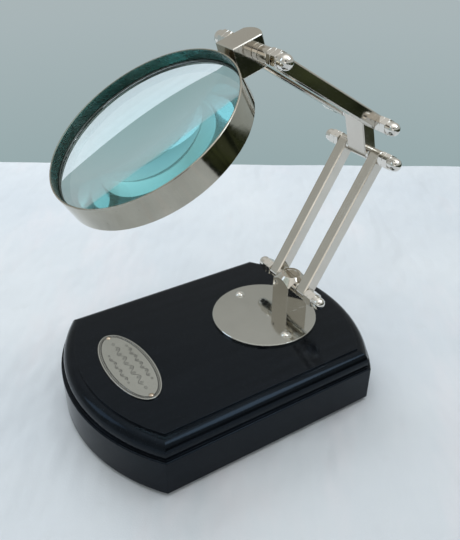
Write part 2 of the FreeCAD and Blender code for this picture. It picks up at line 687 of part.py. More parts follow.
def hexagon(name, height_rule):
    """Hexagonal bar with both ends turned to a blunt cone."""
    bar = primitive("Prism", name + "_bar", Circumradius="Sheet.nut_flats / sqrt(3)", Height=height_rule)
    bar.Polygon = 6
    tall = primitive("Cylinder", name + "_turning", Radius="Sheet.nut_flats / sqrt(3)", Height=height_rule)
    doc.recompute()
    turned = doc.addObject("Part::Chamfer", name + "_turned")
    turned.Base = tall
    rims = [i for i, edge in enumerate(tall.Shape.Edges, start=1)
            if abs(edge.BoundBox.ZMax - edge.BoundBox.ZMin) < 1e-6]
    turned.Edges = [(i, size("nut_turning_rise"), size("nut_turning_depth")) for i in rims]
    return combine("Common", name, bar, turned)


def make_jam_nut(station, side):
    name = "%s_jam_nut_%s" % (station, side)
    body = hexagon(name + "_hex", cell("jam_nut_thickness"))
    hole = primitive("Cylinder", name + "_hole", Radius=cell("nut_bore_radius"),
                     Height="3 * Sheet.jam_nut_thickness")
    bind(hole, Placement__Base__z="-Sheet.jam_nut_thickness")
    nut = combine("Cut", name, body, hole)
    set_at_station(nut, station, JAM_SEAT, side == "left")


def make_acorn_nut(station, side):
    """Hexagon, short neck and ball end, with a blind bore."""
    name = "%s_acorn_nut_%s" % (station, side)
    body = hexagon(name + "_hex", cell("acorn_hex_height"))
    neck = primitive("Cylinder", name + "_neck", Radius=cell("acorn_dome_radius"),
                     Height=cell("acorn_dome_centre"))
    ball = primitive("Sphere", name + "_ball", Radius=cell("acorn_dome_radius"))
    bind(ball, Placement__Base__z=cell("acorn_dome_centre"))
    capped = combine("Fuse", name + "_cap", neck, ball)
    whole = combine("Fuse", name + "_whole", body, capped)
    hole = primitive("Cylinder", name + "_hole", Radius=cell("nut_bore_radius"),
                     Height="2 * Sheet.acorn_bore_depth")
    bind(hole, Placement__Base__z="-Sheet.acorn_bore_depth")
    nut = combine("Cut", name, whole, hole)
    set_at_station(nut, station, ACORN_SEAT, side == "left")


def make_pivot_hardware():
    for station in PIN_PLACES:
        make_rod(station)
        for side in ("right", "left"):
            make_washer(station, side)
            make_jam_nut(station, side)
            make_acorn_nut(station, side)


# ---- arms and elbow -----------------------------------------------------------------

def long_edges(edge):
    """Edges that lie in a plane across X, on the outside of a bar."""
    box = edge.BoundBox
    flat = box.XMax - box.XMin < 1e-4
    round_hole = edge.Curve.TypeId == "Part::GeomCircle" and edge.isClosed()
    return flat and not round_hole


def make_link(label, length_rule, depth_rule, thick_rule, edge_rule, bore_rule, x_rule):
    """Round-ended bar in the YZ plane, bored at both ends, with broken edges."""
    body = new_body(label)
    outline = new_sketch(body, label + "_outline", "YZ_Plane", x_rule)
    link_outline(outline, length_rule, depth_rule)
    centred = x_rule is None
    pad(body, label + "_bar", outline, thick_rule, centred=centred)
    dress(body, "Chamfer", label + "_edges", long_edges, edge_rule)
    bores = new_sketch(body, label + "_bores", "YZ_Plane")
    circle(bores, bore_rule, None, None, "foot")
    circle(bores, bore_rule, None, length_rule, "tip")
    pocket(body, label + "_through", bores, None, centred=True)
    return body


def make_arms(pair, station, length, turn_rule):
    """A right-hand and a left-hand arm, the same bar on both sides of the blocks."""
    for side, x_rule in (("right", ARM_INNER), ("left", "-" + ARM_OUTER)):
        arm = make_link("%s_arm_%s" % (pair, side), cell(length), cell("arm_depth"),
                        cell("arm_thickness"), cell("arm_edge"), cell("running_bore_radius"), x_rule)
        y_rule, z_rule = PIN_PLACES[station]
        place(arm, y_rule, z_rule, turn_rule)


def make_elbow_block():
    block = make_link("elbow_block", cell("elbow_pin_spacing"), cell("elbow_depth"),
                      cell("stock_width"), cell("elbow_edge"), cell("nut_bore_radius"), None)
    place(block, ELBOW_LOW_Y, ELBOW_LOW_Z, cell("elbow_lean"))


# ---- head ---------------------------------------------------------------------------
# Ring parts are drawn level about the ring's own centre and then tilted as one. The
# block is drawn level about the head pin and has a smaller tilt of its own, so it meets
# the band with its lower half.

RING_TOP = "Sheet.ring_height / 2"


def make_lens_ring():
    """Thin band rolled from strip, with its four rim corners broken and its ends butted."""
    body = new_body("lens_ring")
    wall = new_sketch(body, "ring_wall_section", "XZ_Plane")
    outer = cell("ring_radius")
    inner = "(Sheet.ring_radius - Sheet.ring_wall)"
    edge = cell("ring_rim_edge")
    top, low = RING_TOP, "-(" + RING_TOP + ")"
    polygon(wall, [
        (inner + " + " + edge, low), (outer + " - " + edge, low),
        (outer, low + " + " + edge), (outer, top + " - " + edge),
        (outer + " - " + edge, top), (inner + " + " + edge, top),
        (inner, top + " - " + edge), (inner, low + " + " + edge),
    ])
    revolve(body, "ring_band", wall)
    cut_ring_seam(body)
    return body


def cut_ring_seam(body):
    """Hairline gap where the two ends of the rolled strip meet, behind the block."""
    seam = new_sketch(body, "ring_seam_section", "XY_Plane")
    half = "Sheet.ring_seam_gap / 2"
    inside = "(Sheet.ring_radius - 2 * Sheet.ring_wall)"
    outside = "(Sheet.ring_radius + Sheet.ring_wall)"
    polygon(seam, [("-" + half, inside), (half, inside), (half, outside), ("-" + half, outside)])
    pocket(body, "ring_seam", seam, None, centred=True)


def make_head_block():
    """Square block with a bowed back end, its front end hollowed to sit on the band."""
    body = new_body("head_blank")
    plan = new_sketch(body, "head_plan", "XY_Plane", "-Sheet.head_block_height / 2")
    half = size("stock_width") / 2
    front = -size("head_block_front")
    radius = size("head_block_end_radius")
    bow_centre = size("head_block_back") - radius
    sweep = math.asin(half / radius)
    corner = bow_centre + radius * math.cos(sweep)
    bow = Part.Circle(V(0, bow_centre, 0), V(0, 0, 1), radius)
    edges = [
        sketch_line(plan, V(-half, front, 0), V(half, front, 0)),
        sketch_line(plan, V(half, front, 0), V(half, corner, 0)),
        plan.addGeometry(Part.ArcOfCircle(bow, math.pi / 2 - sweep, math.pi / 2 + sweep)),
        sketch_line(plan, V(-half, corner, 0), V(-half, front, 0)),
    ]
    for i in range(4):
        plan.addConstraint(Sketcher.Constraint("Coincident", edges[i], 2, edges[(i + 1) % 4], 1))
    plan.addConstraint(Sketcher.Constraint("Horizontal", edges[0]))
    plan.addConstraint(Sketcher.Constraint("Vertical", edges[1]))
    plan.addConstraint(Sketcher.Constraint("Vertical", edges[3]))
    plan.addConstraint(Sketcher.Constraint("PointOnObject", edges[2], 3, -2))
    dimension(plan, "DistanceX", (-1, 1, edges[1], 1), "Sheet.stock_width / 2", "right_side")
    dimension(plan, "DistanceX", (edges[3], 1, -1, 1), "Sheet.stock_width / 2", "left_side")
    dimension(plan, "Radius", (edges[2],), cell("head_block_end_radius"), "back_bow")
    centre = "Sheet.head_block_end_radius - Sheet.head_block_back"
    dimension(plan, "DistanceY", (edges[2], 3, -1, 1), centre, "bow_centre")
    dimension(plan, "DistanceY", (edges[0], 1, -1, 1), cell("head_block_front"), "front_reach")
    pad(body, "head_bar", plan, cell("head_block_height"))
    dress(body, "Chamfer", "head_edges", head_rims, cell("head_block_edge"))
    cross = new_sketch(body, "head_cross", "YZ_Plane")
    circle(cross, cell("nut_bore_radius"))
    pocket(body, "head_cross_bore", cross, None, centred=True)
    place(body, HEAD_Y, HEAD_Z, cell("head_block_tilt"))
    seat = primitive("Cylinder", "head_seat", Radius=cell("ring_radius"),
                     Height="2 * Sheet.ring_height")
    lift_in_ring(seat, "Sheet.ring_lift - Sheet.ring_height")
    combine("Cut", "head_block", body, seat)


def head_rims(edge):
    """The outlines of the block's top and bottom faces."""
    middle = edge.CenterOfMass.z
    return abs(abs(middle) - size("head_block_height") / 2) < 1e-4


def sketch_line(sketch, start, end):
    return sketch.addGeometry(Part.LineSegment(start, end))


def make_lens():
    """Biconvex lens: what two large balls and the ground cylindrical edge have in common."""
    rim = "(Sheet.ring_radius - Sheet.ring_wall - Sheet.lens_gap)"
    rise = "((Sheet.lens_centre - Sheet.lens_edge) / 2)"
    bow = "((%s ^ 2 + %s ^ 2) / (2 * %s))" % (rim, rise, rise)
    glass = primitive("Cylinder", "lens_blank", Radius=rim, Height=cell("lens_centre"))
    bind(glass, Placement__Base__z="-Sheet.lens_centre / 2")
    for name, sign in (("lens_one_side_ground", ""), ("lens", "-")):
        ball = primitive("Sphere", name + "_ball", Radius=bow)
        # the ball's poles are turned to its sides, away from the lens face
        ball.Placement = FreeCAD.Placement(V(0, 0, 0), FreeCAD.Rotation(V(1, 0, 0), 90))
        bind(ball, Placement__Base__z="%s(Sheet.lens_centre / 2 - %s)" % (sign, bow))
        glass = combine("Common", name, glass, ball)
    return glass


LENS_MIDDLE = "Sheet.ring_lift + Sheet.ring_height / 2 - Sheet.lens_setting - Sheet.lens_edge / 2"


def lift_in_ring(item, lift_rule):
    """Tilt a ring part about X, this far above the head pin's level in the tilted frame."""
    y_rule = (HEAD_Y + " - Sheet.ring_pin_reach * cos(Sheet.lens_tilt * 1 deg)"
              " - (" + lift_rule + ") * sin(Sheet.lens_tilt * 1 deg)")
    z_rule = (HEAD_Z + " - Sheet.ring_pin_reach * sin(Sheet.lens_tilt * 1 deg)"
              " + (" + lift_rule + ") * cos(Sheet.lens_tilt * 1 deg)")
    place(item, y_rule, z_rule, cell("lens_tilt"))


def make_snap_ring(name, lift_rule):
    """Round wire ring sprung against the band, open by a short gap."""
    hoop = primitive("Torus", name + "_hoop",
                     Radius1="Sheet.ring_radius - Sheet.ring_wall"
                             " - Sheet.snap_ring_radius - Sheet.snap_ring_fit",
                     Radius2=cell("snap_ring_radius"))
    gap = primitive("Box", name + "_gap", Length="4 * Sheet.snap_ring_radius",
                    Width=cell("snap_ring_gap"), Height="4 * Sheet.snap_ring_radius")
    bind(gap, Placement__Base__x="-Sheet.ring_radius", Placement__Base__y="-Sheet.snap_ring_gap / 2",
         Placement__Base__z="-2 * Sheet.snap_ring_radius")
    ring = combine("Cut", name, hoop, gap)
    lift_in_ring(ring, lift_rule)


def make_head():
    ring = make_lens_ring()
    lift_in_ring(ring, cell("ring_lift"))
    make_head_block()
    lens = make_lens()
    lift_in_ring(lens, LENS_MIDDLE)
    off_edge = "(Sheet.lens_edge / 2 + Sheet.snap_ring_radius + Sheet.snap_ring_stand_off)"
    make_snap_ring("front_snap_ring", LENS_MIDDLE + " + " + off_edge)
    make_snap_ring("rear_snap_ring", LENS_MIDDLE + " - " + off_edge)


# ---- build, check, write ------------------------------------------------------------

NODES = ["base_felt", "base_block", "mounting_plate", "plate_screw_right", "plate_screw_left",
         "nameplate", "nameplate_pin_right", "nameplate_pin_left", "post", "post_clamp_screw",
         "post_set_screw", "post_bolt", "post_bolt_washer"]
for station in PIN_PLACES:
    NODES.append(station + "_rod")
    for part in ("washer", "jam_nut", "acorn_nut"):
        NODES.extend("%s_%s_%s" % (station, part, side) for side in ("right", "left"))
NODES += ["lower_arm_right", "lower_arm_left", "upper_arm_right", "upper_arm_left", "elbow_block",
          "lens_ring", "head_block", "lens", "front_snap_ring", "rear_snap_ring"]


def build():
    fill_sheet()
    make_base_felt()
    make_base_block()
    make_mounting_plate()
    make_plate_screws()
    make_nameplate()
    make_nameplate_pins()
    make_post()
    make_post_clamp_screw()
    make_post_set_screw()
    make_post_bolt()
    make_pivot_hardware()
    make_arms("lower", "post", "lower_arm_centres", "-Sheet.lower_arm_lean")
    make_elbow_block()
    make_arms("upper", "elbow_upper", "upper_arm_centres", "90 - Sheet.upper_arm_rise")
    make_head()
    doc.recompute()


def check_and_export():
    for item in doc.Objects:
        if "Invalid" in item.State or "Error" in item.State:
            raise ValueError("%s is in state %s" % (item.Name, item.State))
    os.makedirs("parts", exist_ok=True)
    for name in NODES:
        shape = doc.getObject(name).Shape
        if shape.isNull() or not shape.isValid() or not shape.Solids:
            raise ValueError(name + " has no valid solid")
        shape.exportStep("parts/%s.step" % name)
        box = shape.optimalBoundingBox()
        print("%-28s %9.1f mm3  x %7.2f..%7.2f  y %7.2f..%7.2f  z %7.2f..%7.2f" % (
            name, shape.Volume, box.XMin, box.XMax, box.YMin, box.YMax, box.ZMin, box.ZMax))


build()
check_and_export()
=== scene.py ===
import json
import math

import bmesh
import bpy
from mathutils import Matrix, Vector, noise


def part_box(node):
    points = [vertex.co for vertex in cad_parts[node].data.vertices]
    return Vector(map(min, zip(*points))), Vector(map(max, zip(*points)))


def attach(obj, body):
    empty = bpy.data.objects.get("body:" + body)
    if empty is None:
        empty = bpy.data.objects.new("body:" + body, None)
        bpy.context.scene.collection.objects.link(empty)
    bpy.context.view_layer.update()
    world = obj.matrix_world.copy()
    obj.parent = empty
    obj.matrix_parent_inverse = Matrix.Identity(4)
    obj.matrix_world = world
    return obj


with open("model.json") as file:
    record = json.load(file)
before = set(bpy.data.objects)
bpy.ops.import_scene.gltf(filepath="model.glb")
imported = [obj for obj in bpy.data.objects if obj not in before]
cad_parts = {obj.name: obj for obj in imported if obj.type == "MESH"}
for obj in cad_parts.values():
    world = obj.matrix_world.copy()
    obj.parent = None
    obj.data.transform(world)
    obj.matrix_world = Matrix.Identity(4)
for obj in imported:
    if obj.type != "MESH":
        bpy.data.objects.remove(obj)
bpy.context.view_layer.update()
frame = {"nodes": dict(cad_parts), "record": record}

NODES = frame["nodes"]
MM = 0.001

# The picture is 540 units tall and 460 wide, and the focal length is in the same units.
# The sensor width is in millimetres, and belongs to the picture's long side.
PICTURE_LONG_SIDE = 540
FOCAL_LENGTH = 654.8
SENSOR_WIDTH = 36.0

# From here on, lengths are in metres and angles in degrees.
CAMERA_TARGET = Vector((-6.2, 14.0, 69.3)) * MM
CAMERA_DISTANCE = 377.2 * MM
CAMERA_AZIMUTH = 57.35
CAMERA_ELEVATION = 32.4
CAMERA_ROLL = 0.55

# The sky's colours, from straight down at 0 to straight up at 1.
SKY_TONES = (
    (0.28, (0.285, 0.385, 0.395)),
    (0.40, (0.39, 0.46, 0.475)),
    (0.52, (0.46, 0.50, 0.50)),
    (0.76, (0.44, 0.44, 0.41)),
    (0.90, (0.72, 0.72, 0.70)),
    (1.00, (1.60, 1.62, 1.60)),
)
CARD_MOTTLE_SCALE = 7.0

# The table top, measured from the origin away from the camera, towards it, and to each side.
TABLE_FAR = 0.33
TABLE_NEAR = 1.10
TABLE_HALF_WIDTH = 0.95
TABLE_STEPS = 260

# The sheet's mesh is level as far as FLAT_RADIUS and fully creased from FADE_WIDTH beyond it.
# It lies so far below the object's feet that no crease reaches up to them.
FLAT_RADIUS = 0.12
FADE_WIDTH = 0.12
CREASE_HEIGHT = 1.1 * MM
CREASE_SCALE = 7
CREASE_SLICE = 0.3
CREASE_SMOOTHNESS = 0.9
CREASE_SPACING = 2.1
CREASE_OCTAVES = 4
SHEET_DROP = 1.6 * CREASE_HEIGHT

# The filled lines of the nameplate, which stand a hair above the metal and go into it.
LINE_PROUD = 0.02 * MM
LINE_SUNK = 0.06 * MM
LINE_WIDTH = 0.30 * MM
HATCH_WIDTH = 0.26 * MM
BORDER_OUTER_INSET = 0.9 * MM
BORDER_INNER_INSET = 2.1 * MM
BORDER_HATCHES = 96

# Each row of scrolls: its place and its half length as shares of the plate's half height and
# half width, then how far its stem swings, and its number of waves.
SCROLL_ROWS = (
    (0.47, 0.46, 1.35 * MM, 4),
    (0.0, 0.60, 1.75 * MM, 4),
    (-0.47, 0.36, 1.15 * MM, 3),
)

# Sizes of a scroll's smaller parts, as shares of its stem's swing or, for a width, of its line's.
TENDRIL_RADIUS = 0.62
TENDRIL_SHIFT = 0.10
TENDRIL_WIDTH = 0.8
TENDRIL_TURNS = 1.25
TENDRIL_CLOSING = 0.8
END_GAP = 1.6
END_HALF_LENGTH = 0.7
END_HALF_HEIGHT = 0.45


# ---- camera, floor and light ------------------------------------------------------

def direction(azimuth, elevation):
    """Unit vector towards a place on the sky. Azimuth 0 is -Y and 90 is +X."""
    a, e = math.radians(azimuth), math.radians(elevation)
    return Vector((math.sin(a) * math.cos(e), -math.cos(a) * math.cos(e), math.sin(e)))


def middle_of(node):
    low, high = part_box(node)
    return (Vector(low) + Vector(high)) / 2


def add_object(name, data):
    item = bpy.data.objects.new(name, data)
    bpy.context.scene.collection.objects.link(item)
    return item


def make_camera():
    data = bpy.data.cameras.new("camera")
    data.sensor_width = SENSOR_WIDTH
    data.lens = FOCAL_LENGTH / PICTURE_LONG_SIDE * SENSOR_WIDTH
    data.clip_start = 0.01
    data.clip_end = 50
    camera = add_object("camera", data)
    back = direction(CAMERA_AZIMUTH, CAMERA_ELEVATION)
    level = (-back).to_track_quat("-Z", "Y").to_matrix()
    roll = Matrix.Rotation(math.radians(CAMERA_ROLL), 3, "Z")
    place = Matrix.Translation(CAMERA_TARGET + back * CAMERA_DISTANCE)
    camera.matrix_world = place @ (level @ roll).to_4x4()
    bpy.context.scene.camera = camera


def softbox(name, azimuth, elevation, distance, width, height, radiance, colour=(1, 1, 1)):
    """A rectangular lamp that faces the object with the given radiance.

    It isn't seen in reflections or through the lens.
    """
    data = bpy.data.lights.new(name, "AREA")
    data.shape = "RECTANGLE"
    data.size = width
    data.size_y = height
    data.energy = radiance * math.pi * width * height
    data.color = colour
    lamp = add_object(name, data)
    towards = direction(azimuth, elevation)
    lamp.location = CAMERA_TARGET + towards * distance
    lamp.rotation_mode = "QUATERNION"
    lamp.rotation_quaternion = towards.to_track_quat("Z", "Y")
    lamp.visible_glossy = False
    lamp.visible_transmission = False


def card(name, corners, dark, light, transmission=False):
    """A studio card with two mottled tones, seen only in reflections and, if asked, through the lens."""
    net = Net(name)
    net.tree.nodes.remove(net.shader)
    mottle = net.span(net.noise(CARD_MOTTLE_SCALE, 4), 0.42, 0.58)
    glow = net.add("ShaderNodeEmission")
    net.join(net.mix(mottle, dark, light), glow.inputs["Color"])
    net.join(glow.outputs[0], net.tree.nodes["Material Output"].inputs["Surface"])
    mesh = bpy.data.meshes.new(name)
    mesh.from_pydata([tuple(corner) for corner in corners], [], [(0, 1, 2, 3)])
    mesh.materials.append(net.material)
    item = add_object(name, mesh)
    item.visible_camera = False
    item.visible_diffuse = False
    item.visible_shadow = False
    item.visible_volume_scatter = False
    item.visible_transmission = transmission


def panel(about, left, right, depth, distance):
    """Corners of a card that hangs below an edge between two places on the sky, seen from about."""
    a = about + direction(*left) * distance
    b = about + direction(*right) * distance
    down = (a + b - 2 * about).cross(b - a).normalized() * depth
    return a, b, b + down, a + down


def level_strip(left, right, near, far, height):
    """Corners of a level card, measured to the camera's right and away from the camera."""
    sideways = direction(CAMERA_AZIMUTH + 90, 0)
    away = -direction(CAMERA_AZIMUTH, 0)
    rise = Vector((0, 0, height))
    return [sideways * side + away * reach + rise
            for side, reach in ((left, far), (right, far), (right, near), (left, near))]


def make_world():
    """Overcast sky: grey-green low down, brighter overhead."""
    world = bpy.data.worlds.new("world")
    world.use_nodes = True
    bpy.context.scene.world = world
    nodes = world.node_tree.nodes
    links = world.node_tree.links
    place = nodes.new("ShaderNodeTexCoord")
    split = nodes.new("ShaderNodeSeparateXYZ")
    links.new(place.outputs["Generated"], split.inputs[0])
    lift = nodes.new("ShaderNodeMapRange")
    lift.inputs["From Min"].default_value = -1.0
    links.new(split.outputs["Z"], lift.inputs["Value"])
    ramp = nodes.new("ShaderNodeValToRGB")
    stops = ramp.color_ramp.elements
    for stop, (position, colour) in zip(stops, (SKY_TONES[0], SKY_TONES[-1])):
        stop.position = position
        stop.color = (*colour, 1)
    for position, colour in SKY_TONES[1:-1]:
        stops.new(position).color = (*colour, 1)
    links.new(lift.outputs[0], ramp.inputs[0])
    links.new(ramp.outputs[0], nodes["Background"].inputs["Color"])


def make_lights():
    """A sky, two soft lamps, and the cards that the metal, the lacquer and the lens mirror."""
    make_world()
    softbox("key", azimuth=-98, elevation=34, distance=1.2, width=0.90, height=0.70,
            radiance=3.0, colour=(0.95, 0.98, 1.0))
    softbox("ceiling", azimuth=160, elevation=76, distance=1.4, width=0.9, height=0.9, radiance=0.4)
    ground = level_strip(left=0.40, right=2.6, near=-0.8, far=1.4, height=0.004)
    card("ground", ground, dark=(0.010, 0.013, 0.008), light=(0.050, 0.062, 0.028), transmission=True)
    hedge = panel(CAMERA_TARGET, left=(155, 9), right=(60, 9), depth=0.20, distance=0.9)
    card("hedge", hedge, dark=(0.012, 0.016, 0.010), light=(0.06, 0.07, 0.04))
    right_sky = panel(CAMERA_TARGET, left=(165, 64), right=(100, 64), depth=0.62, distance=1.3)
    card("right_sky", right_sky, dark=(3.2, 3.6, 4.0), light=(3.7, 4.2, 4.7))
    left_sky = panel(CAMERA_TARGET, left=(-18, 46), right=(-46, 46), depth=0.62, distance=1.3)
    card("left_sky", left_sky, dark=(1.3, 1.6, 1.9), light=(1.6, 1.9, 2.3))
    pale_wall = panel(CAMERA_TARGET, left=(58, 24), right=(30, 24), depth=0.42, distance=1.2)
    card("pale_wall", pale_wall, dark=(0.95, 0.94, 0.90), light=(1.15, 1.14, 1.10))
    stand = panel(middle_of("lens"), left=(70, 44), right=(44, 44), depth=0.40, distance=0.95)
    card("stand", stand, dark=(0.020, 0.020, 0.024), light=(0.070, 0.068, 0.070))


def make_floor():
    """White cotton sheet spread on a table, with soft random creases."""
    grid = bmesh.new()
    bmesh.ops.create_grid(grid, x_segments=TABLE_STEPS, y_segments=TABLE_STEPS, size=0.5)
    length = TABLE_FAR + TABLE_NEAR
    for vertex in grid.verts:
        x = vertex.co.x * 2 * TABLE_HALF_WIDTH
        y = vertex.co.y * length + (TABLE_FAR - TABLE_NEAR) / 2
        fade = min(1.0, max(0.0, (math.hypot(x, y) - FLAT_RADIUS) / FADE_WIDTH))
        spot = Vector((x * CREASE_SCALE, y * CREASE_SCALE, CREASE_SLICE))
        crease = noise.fractal(spot, CREASE_SMOOTHNESS, CREASE_SPACING, CREASE_OCTAVES)
        vertex.co = Vector((x, y, -SHEET_DROP + CREASE_HEIGHT * crease * fade))
    mesh = bpy.data.meshes.new("floor")
    grid.to_mesh(mesh)
    grid.free()
    mesh.shade_smooth()
    mesh.materials.append(sheet_material())
    floor = add_object("floor", mesh)
    floor.rotation_euler.z = math.radians(CAMERA_AZIMUTH)


# ---- node helpers -----------------------------------------------------------------

class Net:
    """A material and short ways to add and join its nodes."""

    def __init__(self, name):
        self.material = bpy.data.materials.new(name)
        self.material.use_nodes = True
        self.tree = self.material.node_tree
        self.shader = self.tree.nodes["Principled BSDF"]
        self.place = self.add("ShaderNodeTexCoord").outputs["Object"]

    def add(self, kind, **values):
        node = self.tree.nodes.new(kind)
        for key, value in values.items():
            setattr(node, key, value)
        return node

    def join(self, source, target):
        self.tree.links.new(source, target)

    def feed(self, name, source):
        """Join a node to the shader's input of that name."""
        self.join(source, self.shader.inputs[name])

    def set(self, **values):
        """Give the shader's inputs plain values."""
        for key, value in values.items():
            self.shader.inputs[key.replace("_", " ")].default_value = value

    def noise(self, scale, detail=3.0, rough=0.55, stretch=None):
        """Noise whose scale is features per metre; stretch multiplies it along each axis."""
        node = self.add("ShaderNodeTexNoise")
        node.inputs["Scale"].default_value = scale
        node.inputs["Detail"].default_value = detail
        node.inputs["Roughness"].default_value = rough
        where = self.place
        if stretch:
            move = self.add("ShaderNodeMapping")
            move.inputs["Scale"].default_value = stretch
            self.join(where, move.inputs[0])
            where = move.outputs[0]
        self.join(where, node.inputs["Vector"])
        return node.outputs["Fac"]

    def span(self, value, low, high, out_low=0.0, out_high=1.0):
        """Stretch low to high over out_low to out_high, and hold it there beyond them."""
        node = self.add("ShaderNodeMapRange", clamp=True)
        node.inputs["From Min"].default_value = low
        node.inputs["From Max"].default_value = high
        node.inputs["To Min"].default_value = out_low
        node.inputs["To Max"].default_value = out_high
        self.join(value, node.inputs["Value"])
        return node.outputs[0]

    def compute(self, operation, first, second):
        node = self.add("ShaderNodeMath", operation=operation)
        for slot, value in enumerate((first, second)):
            if isinstance(value, (int, float)):
                node.inputs[slot].default_value = value
            else:
                self.join(value, node.inputs[slot])
        return node.outputs[0]

    def plus(self, first, second):
        return self.compute("ADD", first, second)

    def times(self, first, second):
        return self.compute("MULTIPLY", first, second)

    def mix(self, share, first, second):
        """The first colour where share is 0, and the second where it is 1.

        Of a Mix node's many sockets, inputs 6 and 7 take its colours and output 2 gives the result.
        """
        node = self.add("ShaderNodeMix", data_type="RGBA")
        self.join(share, node.inputs["Factor"])
        for key, value in ((6, first), (7, second)):
            if isinstance(value, tuple):
                node.inputs[key].default_value = (*value, 1)
            else:
                self.join(value, node.inputs[key])
        return node.outputs[2]

    def soft_normal(self, radius):
        """The tiny rounding that every finished edge has."""
        soft = self.add("ShaderNodeBevel", samples=4)
        soft.inputs["Radius"].default_value = radius
        return soft.outputs[0]

    def edges(self, radius):
        """1 on sharp edges and 0 on flat ground, whatever the mesh."""
        true = self.add("ShaderNodeNewGeometry").outputs["Normal"]
        turn = self.add("ShaderNodeVectorMath", operation="DOT_PRODUCT")
        self.join(self.soft_normal(radius), turn.inputs[0])
        self.join(true, turn.inputs[1])
        return self.span(turn.outputs["Value"], 0.995, 0.85)

    def bump(self, height, strength, distance, under=None):
        """A normal that follows the height, on top of the one under it."""
        node = self.add("ShaderNodeBump")
        node.inputs["Strength"].default_value = strength
        node.inputs["Distance"].default_value = distance
        self.join(height, node.inputs["Height"])
        if under:
            self.join(under, node.inputs["Normal"])
        return node.outputs[0]


# ---- materials --------------------------------------------------------------------

def sheet_material():
    """Bluish white cotton with soft shade, faint pink smears, grey spots and a weave."""
    net = Net("white_cotton_sheet")
    pink = (0.80, 0.78, 0.835)
    grey = (0.60, 0.64, 0.68)
    tone = net.mix(net.span(net.noise(6, 4), 0.3, 0.7), (0.625, 0.69, 0.765), (0.71, 0.765, 0.825))
    smear = net.span(net.noise(10, 5, 0.65, stretch=(1.0, 0.35, 1.0)), 0.54, 0.70)
    tone = net.mix(net.times(smear, 0.5), tone, pink)
    spot = net.span(net.noise(60, 3), 0.66, 0.80)
    tone = net.mix(net.times(spot, 0.25), tone, grey)
    net.feed("Base Color", tone)
    net.set(Roughness=0.9, Sheen_Weight=0.15)
    creases = net.noise(9, 4, 0.58, stretch=(1.0, 0.5, 1.0))
    weave = net.noise(1400, 2, 0.6)
    low = net.bump(creases, strength=0.9, distance=18 * MM)
    net.feed("Normal", net.bump(weave, strength=0.25, distance=0.4 * MM, under=low))
    return net.material


def lacquer_material():
    """Black gloss lacquer over close-grained wood: faint grain, orange peel, dust and rubbed edges."""
    net = Net("black_lacquered_wood")
    rubbed_black = (0.040, 0.042, 0.046)
    dust_grey = (0.08, 0.085, 0.09)
    grain = net.noise(240, 5, 0.6, stretch=(1.0, 0.06, 1.0))
    tone = net.mix(net.span(grain, 0.35, 0.7), (0.0022, 0.0028, 0.0042), (0.0050, 0.0060, 0.0085))
    worn = net.times(net.edges(0.5 * MM), net.span(net.noise(160, 3), 0.48, 0.66))
    tone = net.mix(net.times(worn, 0.35), tone, rubbed_black)
    specks = net.span(net.noise(2100, 1, 0.4), 0.72, 0.78)
    tone = net.mix(net.times(specks, 0.35), tone, dust_grey)
    net.feed("Base Color", tone)
    smear = net.span(net.noise(26, 4, 0.6), 0.3, 0.72, 0.09, 0.17)
    net.feed("Roughness", net.plus(smear, net.times(specks, 0.25)))
    net.set(IOR=1.28, Specular_Tint=(0.54, 0.74, 0.95, 1))
    soft = net.soft_normal(0.5 * MM)
    peel = net.bump(net.noise(420, 2, 0.5), strength=0.07, distance=0.22 * MM, under=soft)
    net.feed("Normal", net.bump(grain, strength=0.04, distance=0.2 * MM, under=peel))
    return net.material


def felt_material():
    """Black wool felt with lighter fibres and a soft sheen."""
    net = Net("black_wool_felt")
    fibres = net.noise(2600, 4, 0.7)
    tone = net.mix(net.span(fibres, 0.3, 0.7), (0.008, 0.008, 0.009), (0.030, 0.031, 0.034))
    net.feed("Base Color", tone)
    net.set(Roughness=0.95, Sheen_Weight=0.5, Sheen_Roughness=0.4)
    net.feed("Normal", net.bump(fibres, strength=0.8, distance=0.6 * MM))
    return net.material


def nickel_net(name, bright, dull, rough, lines=None, line_depth=0.0):
    """Plated metal with handling smears, pits, rubbed edges and, where lines is given, scratches.

    rough is the lowest and highest roughness, and lines is how the scratches' noise is stretched.
    """
    net = Net(name)
    rubbed_metal = (0.88, 0.86, 0.82)
    pitted_metal = tuple(0.45 * channel for channel in dull)
    tone = net.mix(net.span(net.noise(55, 4, 0.55), 0.3, 0.75), dull, bright)
    tone = net.mix(net.times(net.edges(0.4 * MM), 0.6), tone, rubbed_metal)
    pits = net.span(net.noise(700, 2, 0.5), 0.73, 0.80)
    tone = net.mix(net.times(pits, 0.45), tone, pitted_metal)
    net.feed("Base Color", tone)
    net.set(Metallic=1.0)
    gloss = net.span(net.noise(80, 4, 0.6), 0.3, 0.7, *rough)
    normal = net.soft_normal(0.3 * MM)
    if lines:
        hair = net.noise(900, 3, 0.6, stretch=lines)
        gloss = net.plus(gloss, net.span(hair, 0.4, 0.7, 0.0, 0.04))
        normal = net.bump(hair, strength=line_depth, distance=0.06 * MM, under=normal)
    normal = net.bump(net.noise(60, 2, 0.5), strength=0.03, distance=0.4 * MM, under=normal)
    net.feed("Roughness", gloss)
    net.feed("Normal", normal)
    return net


